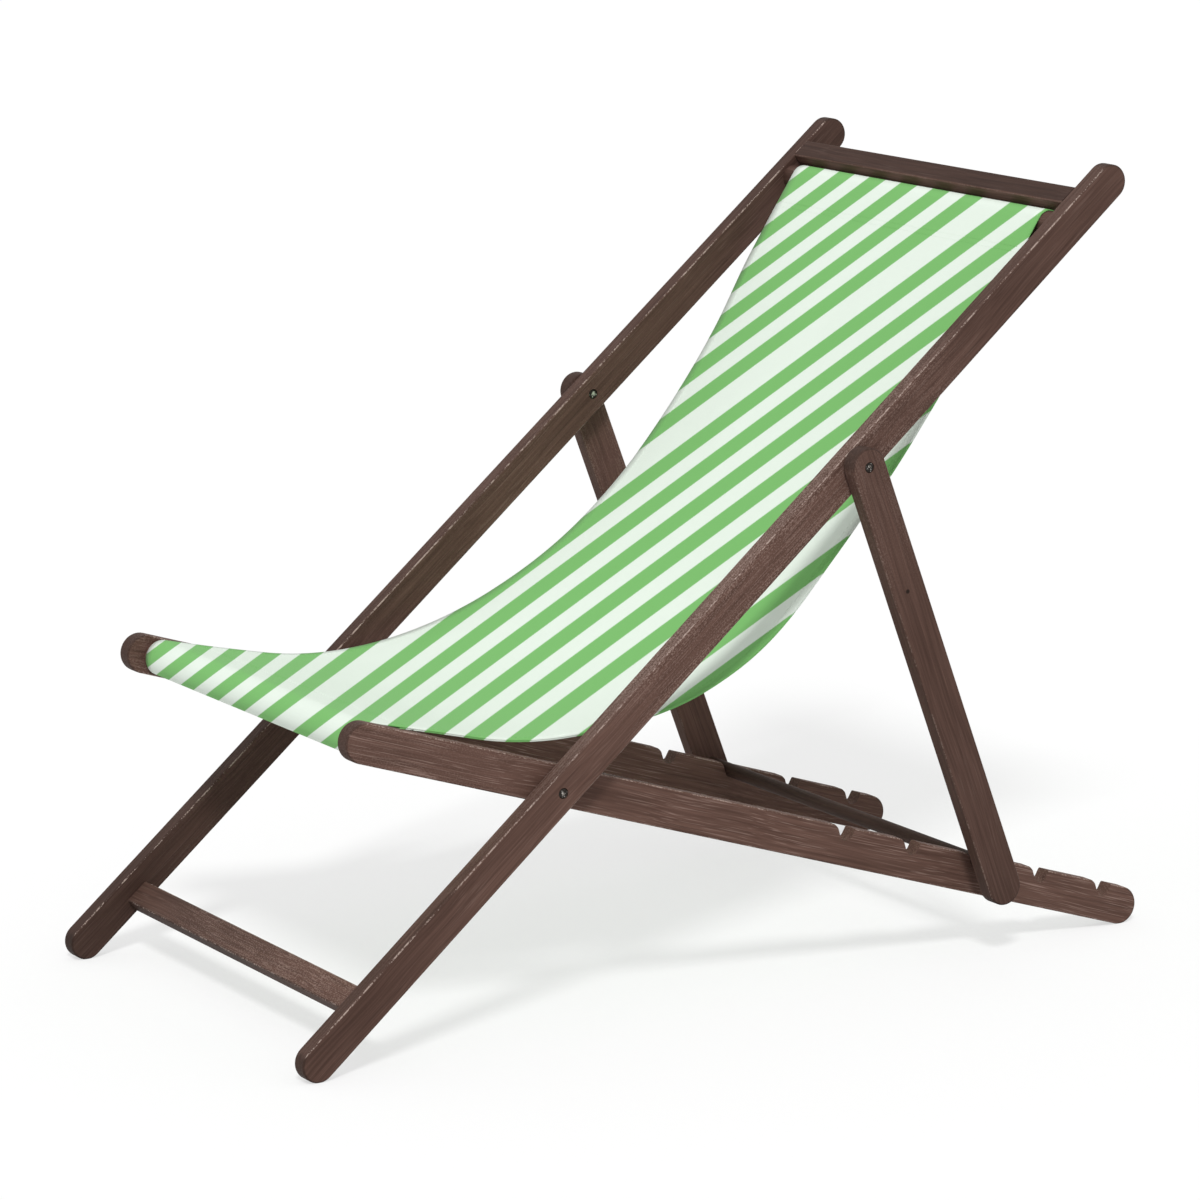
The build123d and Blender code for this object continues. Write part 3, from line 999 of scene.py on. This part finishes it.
    def dress(self, frame: dict[str, Any]) -> None:
        """Give every wooden node its material.
        """
        wood = StainedWood()
        for stick in self.sticks(frame["joints"]):
            repaint(frame["nodes"][stick.name], wood.material(stick))
            LOG.info("wood: %s", stick.name)


@dataclass
class Pivots:
    """Bolts, sleeve nuts and washers of the two pivots."""

    joints: tuple[tuple[str, str], ...] = (("seat_pivot", "seat_fold"), ("prop_pivot", "prop_swing"))
    parts: tuple[str, ...] = ("bolt", "nut", "washer")

    def dress(self, frame: dict[str, Any]) -> None:
        """Give every fitting its steel.
        """
        places = {j["name"]: (j["pos_m"][1], j["pos_m"][2]) for j in frame["joints"]}
        for pivot, joint in self.joints:
            steel = DullSteel().material(pivot, places[joint])
            for part in self.parts:
                for side in Side:
                    node = f"{pivot}_{part}_{side.name.lower()}"
                    repaint(frame["nodes"][node], steel)
                    LOG.info("steel: %s", node)


def repaint(node: bpy.types.Object, material: bpy.types.Material) -> None:
    """Put one material in a CAD node's own slots."""
    for holder in node.material_slots:
        holder.link = "OBJECT"
        holder.material = material


@dataclass(frozen=True)
class BandFan:
    """Bands that lie in planes fanned out from the viewpoint, so that each looks straight from there.

    The first band, the pitch and its growth are in pixels of the view's frame, square to the bands.
    """

    view: Viewpoint = Viewpoint()
    lean: float = 36.355
    pixels: float = 1200.0
    first: float = 768.8
    pitch: float = 25.43
    growth: float = 0.000932
    least: float = 0.05

    def phase(self, point: Vector) -> float:
        """Number of bands from the first one at a point.

        Args:
            point: A place on the cloth.

        Returns:
            The count, which is whole in the middle of a band.
        """
        right, up, forward = self.view.axes()
        ray = point - Vector(self.view.place)
        lean = math.radians(self.lean)
        middle = (math.sin(lean) + math.cos(lean)) / 2
        aside = ray.dot(right) * math.sin(lean) - ray.dot(up) * math.cos(lean)
        slide = self.view.reach * aside / ray.dot(forward)
        step = (middle + slide) * self.pixels - self.first
        return math.log(max(1.0 + self.growth * step, self.least)) / (self.growth * self.pitch)


@dataclass
class Sling:
    """The striped cloth, looped and sewn round the front and top dowels."""

    width: float = 0.456
    thickness: float = 0.0012
    play: float = 0.0003
    seam: float = 0.034
    overlap: float = 0.014
    layer_gap: float = 0.0001
    front_slope: float = -14.4
    middle_slope: float = 43.5
    back_slope: float = 55.8
    front_share: float = 0.128
    back_share: float = 1.35
    strips: int = 40
    run_steps: tuple[int, int, int, int] = (16, 64, 40, 24)
    loop_steps: tuple[int, int] = (32, 28)
    seam_steps: int = 6
    lap_steps: int = 4
    ripple_height: float = 0.0014
    ripple_fade: Flat = (0.15, 0.27)
    long_wave: Triple = (7.0, 4.5, 2.0)
    short_wave: Triple = (15.0, 6.0, 7.0)
    short_share: float = 0.5
    right_lift: float = 0.0118
    right_span: Span = (0.147, 0.527, 0.547, 0.777)
    left_drop: float = 0.0065
    left_span: Span = (0.367, 0.537, 0.577, 0.727)
    waist: float = 0.004
    waist_span: Span = (0.62, 0.80, 0.90, 1.08)
    flare: float = 0.006
    flare_span: Flat = (0.96, 1.06)
    hem_width: float = 0.013
    hem_strips: int = 3
    hem_clear: float = 0.002
    stitch_pitch: float = 0.0055
    stitch_size: Triple = (0.0019, 0.00045, 0.0004)
    stitch_inset: float = 0.0022
    stitch_start: float = 0.004
    stitch_margin: float = 0.003
    stitch_rows: Flat = (0.28, 0.72)
    still_back: float = 0.617
    still_front: float = 0.1815

    def __post_init__(self) -> None:
        """Work out the cloth's line from the two dowels."""
        self.front, self.top = middle_of("front_sling_dowel"), middle_of("top_sling_dowel")
        self.front.x = self.top.x = 0.0
        self.front_loop, self.top_loop = (
            (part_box(n)[1].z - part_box(n)[0].z) / 2 + self.play + self.thickness / 2
            for n in ("front_sling_dowel", "top_sling_dowel")
        )
        slopes = (self.front_slope, self.middle_slope, self.back_slope)
        self.front_angle, self.middle_angle, self.back_angle = (math.radians(slope) for slope in slopes)
        span = (self.top - self.front).length
        self.straight = self.front_share * span
        self.back_radius = self.back_share * span - self.thickness / 2
        self.begin = self.front + upward(self.front_angle) * self.front_loop
        self.finish = self.top + upward(self.back_angle) * self.top_loop
        leave = self.begin + heading(self.front_angle) * self.straight
        square = upward(self.back_angle)
        bare = leave + (upward(self.middle_angle) - upward(self.back_angle)) * self.back_radius
        change = upward(self.front_angle) - upward(self.middle_angle)
        self.seat_radius = (self.finish - bare).dot(square) / change.dot(square)
        self.front_half, self.top_half = (
            math.atan2(loop - self.thickness / 2, self.seam) for loop in (self.front_loop, self.top_loop)
        )

    def main_run(self, trace: Trace, side: Vector, drop: float, skip: float) -> Trace:
        """Draw the hanging part from the front tangent to the top tangent.

        Args:
            trace: A line whose tip is where the run starts.
            side: Shift to the edge at which the line is drawn.
            drop: Distance below the cloth's middle layer.
            skip: Length left out at the top end.

        Returns:
            The same line.
        """
        seat, back = self.seat_radius + drop, self.back_radius + drop
        first, dip, rise, last = self.run_steps
        above = upward(self.front_angle)
        leave = side + self.begin + heading(self.front_angle) * self.straight - above * drop
        trace.straight(leave, first)
        seat_centre = leave + above * seat
        trace.arc(seat_centre, self.middle_angle - self.front_angle, dip)
        turn_point = seat_centre - upward(self.middle_angle) * seat
        back_centre = turn_point + upward(self.middle_angle) * back
        trace.arc(back_centre, self.back_angle - self.middle_angle, rise)
        end = side + self.finish - upward(self.back_angle) * drop
        return trace.straight(end - heading(self.back_angle) * skip, last)

    def outline(self) -> Trace:
        """Draw the whole cloth's line, from one sewn edge to the other.

        Returns:
            The line at the cloth's right edge.
        """
        below = self.thickness + self.layer_gap
        side = Vector((-self.width / 2, 0.0, 0.0))
        lap = self.begin - upward(self.front_angle) * below
        trace = Trace(side + lap + heading(self.front_angle) * (self.seam + self.overlap))
        trace.straight(side + lap + heading(self.front_angle) * self.seam, self.lap_steps)
        leg = self.front_angle + 2 * self.front_half
        trace.straight(side + self.front - upward(leg) * self.front_loop, self.seam_steps)
        trace.arc(side + self.front, -math.pi - 2 * self.front_half, self.loop_steps[0])
        self.main_run(trace, side, 0.0, 0.0)
        trace.arc(side + self.top, -math.pi - 2 * self.top_half, self.loop_steps[1])
        lap = side + self.finish - upward(self.back_angle) * below
        trace.straight(lap - heading(self.back_angle) * self.seam, self.seam_steps)
        return trace.straight(lap - heading(self.back_angle) * (self.seam + self.overlap), self.lap_steps)

    def sag(self, across: float, along: float) -> float:
        """Height of the hung cloth's unevenness: slight waves, a raised right edge and a slack left one.

        Args:
            across: Place across the cloth, from its middle.
            along: Place along its whole line.

        Returns:
            A height above the smooth cloth.
        """
        fade = swell(min(along, self.length - along), *self.ripple_fade)
        slow, quick = (
            noise.noise(Vector((across * wide, along * long, layer)))
            for wide, long, layer in (self.long_wave, self.short_wave)
        )
        left = 0.5 + across / self.width
        lift = self.right_lift * hump(along, self.right_span) * (1 - left)
        drop = self.left_drop * hump(along, self.left_span) * left
        return self.ripple_height * fade * (slow + self.short_share * quick) + lift - drop

    def narrow(self, along: float) -> float:
        """Share of the full width at a place along the cloth."""
        wider = self.flare * swell(along, *self.flare_span)
        return 1.0 + 2 * (wider - self.waist * hump(along, self.waist_span)) / self.width

    def finish_sheet(self, shape: bmesh.types.BMesh, offset: float) -> bmesh.types.BMesh:
        """Give a swept sheet its unevenness, its bands and its flat map.

        Args:
            shape: A sheet that Trace.sweep made.
            offset: Where the sheet's line starts on the whole cloth's line.

        Returns:
            The same sheet.
        """
        along, band = (shape.verts.layers.float[name] for name in ("along", "band"))
        flat = shape.loops.layers.uv["cloth"]
        fan = BandFan()
        lifts = [v.normal * self.sag(v.co.x, v[along] + offset) for v in shape.verts]
        for vert, lift in zip(shape.verts, lifts):
            vert.co += lift
            vert.co.x *= self.narrow(vert[along] + offset)
            vert[band] = fan.phase(vert.co)
        for face in shape.faces:
            for corner in face.loops:
                corner[flat].uv = (corner.vert.co.x + self.width / 2, corner.vert[along] + offset)
        return shape

    def cloth(self, material: bpy.types.Material) -> bpy.types.Object:
        """Make the cloth itself.

        Args:
            material: Its canvas.

        Returns:
            The cloth, with its map and its bands.
        """
        trace = self.outline()
        self.measure(trace)
        sheet = self.finish_sheet(trace.sweep(self.width, self.strips), 0.0)
        return self.thicken(make_object(sheet, "sling_cloth", material))

    def measure(self, trace: Trace) -> None:
        """Keep the cloth's line, the distance along it and where its hanging run begins and ends.

        Args:
            trace: The line at the cloth's right edge.
        """
        self.line = [point + Vector((self.width / 2, 0.0, 0.0)) for point in trace.points()]
        steps = zip([self.line[0], *self.line], self.line)
        self.reached = list(accumulate((after - before).length for before, after in steps))
        self.length = self.reached[-1]
        self.run = [self.nearest(end) for end in (self.begin, self.finish)]

    def nearest(self, place: Vector) -> float:
        """Distance along the cloth's line of its point nearest to a place."""
        return self.reached[min(range(len(self.line)), key=lambda i: (self.line[i] - place).length)]

    def hem(self, side: Side, material: bpy.types.Material) -> bpy.types.Object:
        """Make the hem turned under one side edge.

        Args:
            side: The edge.
            material: The cloth's canvas.

        Returns:
            The hem, between the two sewn loops.
        """
        skip = self.seam + self.overlap + self.hem_clear
        drop = self.thickness + self.layer_gap
        edge = self.width / 2 - (self.hem_width if side is Side.LEFT else 0.0)
        shift = Vector((side.value * edge, 0.0, 0.0))
        start = shift + self.begin + heading(self.front_angle) * skip
        trace = Trace(start - upward(self.front_angle) * drop)
        strip = self.main_run(trace, shift, drop, skip).sweep(self.hem_width, self.hem_strips)
        sheet = self.finish_sheet(strip, self.run[0] + skip)
        return self.thicken(make_object(sheet, "sling_hem_" + side.name.lower(), material))

    def thicken(self, piece: bpy.types.Object) -> bpy.types.Object:
        """Give a sheet the cloth's thickness."""
        solid = piece.modifiers.new("thickness", "SOLIDIFY")
        solid.thickness, solid.offset = self.thickness, 0.0
        return piece

    def spot(self, across: float, along: float) -> tuple[Vector, Vector, Vector]:
        """Find a place on the cloth's middle layer.

        Args:
            across: Place across the cloth, from its middle.
            along: Place along its whole line.

        Returns:
            The point, the direction along the cloth and the direction square to it.
        """
        step = min(max(bisect(self.reached, along), 1), len(self.line) - 1)
        before, after = self.line[step - 1], self.line[step]
        ahead = (after - before).normalized()
        square = Vector((0.0, -ahead.z, ahead.y))
        point = before + ahead * (along - self.reached[step - 1]) + square * self.sag(across, along)
        return point + Vector((across * self.narrow(along), 0.0, 0.0)), ahead, square

    def stitches(self) -> Iterable[tuple[float, float, bool]]:
        """Find the stitches of the two hems and the two loops.

        Returns:
            Each stitch's place across and along the cloth, and whether it lies crosswise.
        """
        start, end = self.run
        skip = self.seam + self.overlap
        line_x = self.width / 2 - self.hem_width + self.stitch_inset
        for number in range(int((end - start - 2 * skip) / self.stitch_pitch)):
            along = start + skip + self.stitch_start + number * self.stitch_pitch
            for side in Side:
                yield side.value * line_x, along, False
        for number in range(int((self.width - 2 * self.stitch_margin) / self.stitch_pitch)):
            across = (number + 0.5) * self.stitch_pitch - self.width / 2 + self.stitch_margin
            for share in self.stitch_rows:
                inset = self.seam + self.overlap * share
                yield across, start + inset, True
                yield across, end - inset, True

    def stitching(self, material: bpy.types.Material) -> bpy.types.Object:
        """Sew the hems and loops, with thread on both faces that takes the cloth's stripes.

        Args:
            material: The cloth's canvas.

        Returns:
            All stitches as one piece.
        """
        shape = bmesh.new()
        band = shape.verts.layers.float.new("band")
        flat = shape.loops.layers.uv.new("cloth")
        under = 1.5 * self.thickness + self.layer_gap
        for across, along, crosswise in self.stitches():
            point, ahead, square = self.spot(across, along)
            sideways = Vector((1.0, 0.0, 0.0))
            if crosswise:
                ahead, sideways = sideways, ahead
            axes = zip((ahead, sideways, square), self.stitch_size)
            turn = Matrix([axis * size for axis, size in axes]).transposed().to_4x4()
            for height in (self.thickness / 2, -under):
                placed = Matrix.Translation(point + square * height) @ turn
                bmesh.ops.create_icosphere(shape, subdivisions=1, radius=1.0, matrix=placed)
        bmesh.ops.recalc_face_normals(shape, faces=shape.faces[:])
        fan = BandFan()
        for vert in shape.verts:
            vert[band] = fan.phase(vert.co)
        for face in shape.faces:
            for corner in face.loops:
                corner[flat].uv = (corner.vert.co.x + self.width / 2, corner.vert.co.y)
        return make_object(shape, "sling_stitching", material)

    def build(self, frame: dict[str, Any]) -> None:
        """Make the whole sling and hang it between the two frames.
        """
        canvas = StripedCanvas().material()
        cloth = self.cloth(canvas)
        hems = [self.hem(side, canvas) for side in Side]
        sewing = self.stitching(canvas)
        pivot = next(Vector(j["pos_m"]) for j in frame["joints"] if j["name"] == "seat_fold")
        reaches = (self.still_back, -self.still_front)
        start, end = (pivot + Vector((0.0, reach, 0.0)) for reach in reaches)
        for piece in (cloth, *hems, sewing):
            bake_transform(piece, "back_frame", "seat_frame", start=start, end=end)
            LOG.info("cloth: %s", piece.name)
        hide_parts("sling")


def main() -> None:
    """Build the scene in order."""
    logging.basicConfig(level=logging.INFO, format="%(name)s %(message)s")
    bpy.context.scene.view_settings.view_transform = "Standard"
    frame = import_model()
    Viewpoint().build()
    Studio().build()
    Timber().dress(frame)
    Pivots().dress(frame)
    Sling().build(frame)


if __name__ == "__main__":
    main()
